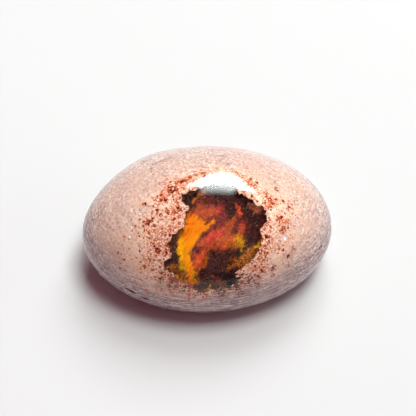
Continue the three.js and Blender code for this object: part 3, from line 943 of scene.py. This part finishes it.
def lamp(name, bm, direction, distance, strength, fades=False):
    """A soft lamp that faces the stone from a direction. Its white cloth gives a wide, even glow with
    soft shadows. The softbox's cloth fades, so its mirror image in the polish has soft ends."""
    material, tree = new_material(name + "_cloth")
    glow = strength
    if fades:
        place_in = add_node(tree, "ShaderNodeTexCoord").outputs["Object"]
        cloth = add_node(tree, "ShaderNodeSeparateXYZ", {0: place_in}).outputs
        side = add_node(tree, "ShaderNodeMath", {0: cloth["X"]}, operation="ABSOLUTE").outputs[0]
        upward, sideways, wings = (
            add_node(tree, "ShaderNodeMapRange", {0: value, 1: fade[0], 2: fade[1], 3: 1.0, 4: 0.0},
                     interpolation_type="SMOOTHSTEP").outputs[0]
            for value, fade in ((cloth["Y"], UPWARD_FADE), (side, SIDE_FADE), (cloth["Y"], WING_TOP)))
        spread = add_node(tree, "ShaderNodeMath", {0: sideways, 1: wings}, operation="MAXIMUM").outputs[0]
        shape = add_node(tree, "ShaderNodeMath", {0: upward, 1: spread}, operation="MULTIPLY").outputs[0]
        glow = add_node(tree, "ShaderNodeMath", {0: shape, 1: strength}, operation="MULTIPLY").outputs[0]
    shader = add_node(tree, "ShaderNodeEmission", {"Color": linear(LAMP_WHITE), "Strength": glow})
    add_node(tree, "ShaderNodeOutputMaterial", {"Surface": shader.outputs[0]})
    piece = new_piece(bm, name, (material,))
    piece.rotation_mode = "QUATERNION"
    piece.rotation_quaternion = direction.to_track_quat("Z", "Y")
    piece.location = direction * distance
    piece.visible_camera = False
    return piece


class CABOCHON_OT_stage(bpy.types.Operator):
    """Lay the pale floor and set the soft light and the camera"""
    bl_idname = "cabochon.stage"
    bl_label = "Floor, light and camera"

    def execute(self, context):
        settings = context.scene.cabochon_stage
        scene = context.scene

        bm = bmesh.new()
        bmesh.ops.create_grid(bm, x_segments=1, y_segments=1, size=FLOOR_WIDTH / 2)
        bmesh.ops.translate(bm, verts=bm.verts, vec=(0, 0, -FLOOR_DROP))
        # Matt white paper: it takes the stone's soft shadow and mirrors nothing
        material, tree = new_material("matt_white_paper")
        shader = add_node(tree, "ShaderNodeBsdfPrincipled", {
            "Base Color": (*settings.floor_colour, 1), "Roughness": 0.9, "Specular IOR Level": 0.2})
        add_node(tree, "ShaderNodeOutputMaterial", {"Surface": shader.outputs[0]})
        new_piece(bm, "floor", (material,))

        bm = bmesh.new()
        bm.faces.new([bm.verts.new((across, up, 0)) for across, up in SOFTBOX_CORNERS])
        softbox = lamp("softbox", bm, toward(SOFTBOX_BEARING, SOFTBOX_ELEVATION),
                       SOFTBOX_DISTANCE, settings.softbox, fades=True)
        softbox.visible_diffuse = False
        for name, bearing, elevation, distance, width, share in (*SCRIMS, FIRE_SCRIM):
            bm = bmesh.new()
            bmesh.ops.create_grid(bm, x_segments=1, y_segments=1, size=width / 2)
            direction = toward(math.radians(bearing), math.radians(elevation))
            scrim = lamp(name, bm, direction, distance, settings.scrims * share)
            scrim.visible_glossy = False
            scrim.visible_diffuse = scrim.visible_shadow = name != FIRE_SCRIM[0]

        world = bpy.data.worlds.new("even_fill")
        world.use_nodes = True
        world.node_tree.nodes["Background"].inputs["Color"].default_value = (*settings.room, 1)
        world.node_tree.nodes["Background"].inputs["Strength"].default_value = settings.sky
        scene.world = world
        scene.view_settings.view_transform = "Standard"

        back = Vector((math.sin(CAMERA_AZIMUTH) * math.cos(CAMERA_ELEVATION),
                       -math.cos(CAMERA_AZIMUTH) * math.cos(CAMERA_ELEVATION),
                       math.sin(CAMERA_ELEVATION)))
        camera = bpy.data.objects.new("camera", bpy.data.cameras.new("camera"))
        camera.data.sensor_width = SENSOR_WIDTH
        camera.data.lens = SENSOR_WIDTH * CAMERA_DISTANCE / FIELD_WIDTH
        camera.data.clip_start, camera.data.clip_end = 0.01, 20
        right = Vector((math.cos(CAMERA_AZIMUTH), math.sin(CAMERA_AZIMUTH), 0))
        aim = CAMERA_TARGET + back.cross(right) * FRAMING_UP + right * FRAMING_RIGHT
        camera.location = CAMERA_TARGET + back * CAMERA_DISTANCE
        camera.rotation_mode = "QUATERNION"
        camera.rotation_quaternion = (aim - camera.location).to_track_quat("-Z", "Y")
        scene.collection.objects.link(camera)
        scene.camera = camera
        return {"FINISHED"}


class CABOCHON_PT_panel(bpy.types.Panel):
    """The stone's and the studio's values, and a button for each operator"""
    bl_label = "Matrix fire opal"
    bl_idname = "CABOCHON_PT_panel"
    bl_space_type = "VIEW_3D"
    bl_region_type = "UI"
    bl_category = "Cabochon"

    def draw(self, context):
        for settings in (context.scene.cabochon_stone, context.scene.cabochon_opal,
                         context.scene.cabochon_stage):
            for name in settings.bl_rna.properties.keys():
                if name not in {"rna_type", "name"}:
                    self.layout.prop(settings, name)
        for operator in OPERATORS:
            self.layout.operator(operator.bl_idname)


OPERATORS = (CABOCHON_OT_rhyolite, CABOCHON_OT_opal, CABOCHON_OT_stage)
CLASSES = (StoneSettings, OpalSettings, StageSettings, *OPERATORS, CABOCHON_PT_panel)


def register():
    for cls in CLASSES:
        bpy.utils.register_class(cls)
    bpy.types.Scene.cabochon_stone = bpy.props.PointerProperty(type=StoneSettings)
    bpy.types.Scene.cabochon_opal = bpy.props.PointerProperty(type=OpalSettings)
    bpy.types.Scene.cabochon_stage = bpy.props.PointerProperty(type=StageSettings)


def unregister():
    for name in ("cabochon_stone", "cabochon_opal", "cabochon_stage"):
        delattr(bpy.types.Scene, name)
    for cls in reversed(CLASSES):
        bpy.utils.unregister_class(cls)


def main():
    register()
    bpy.ops.cabochon.rhyolite()
    bpy.ops.cabochon.opal()
    bpy.ops.cabochon.stage()


if __name__ == "__main__":
    main()
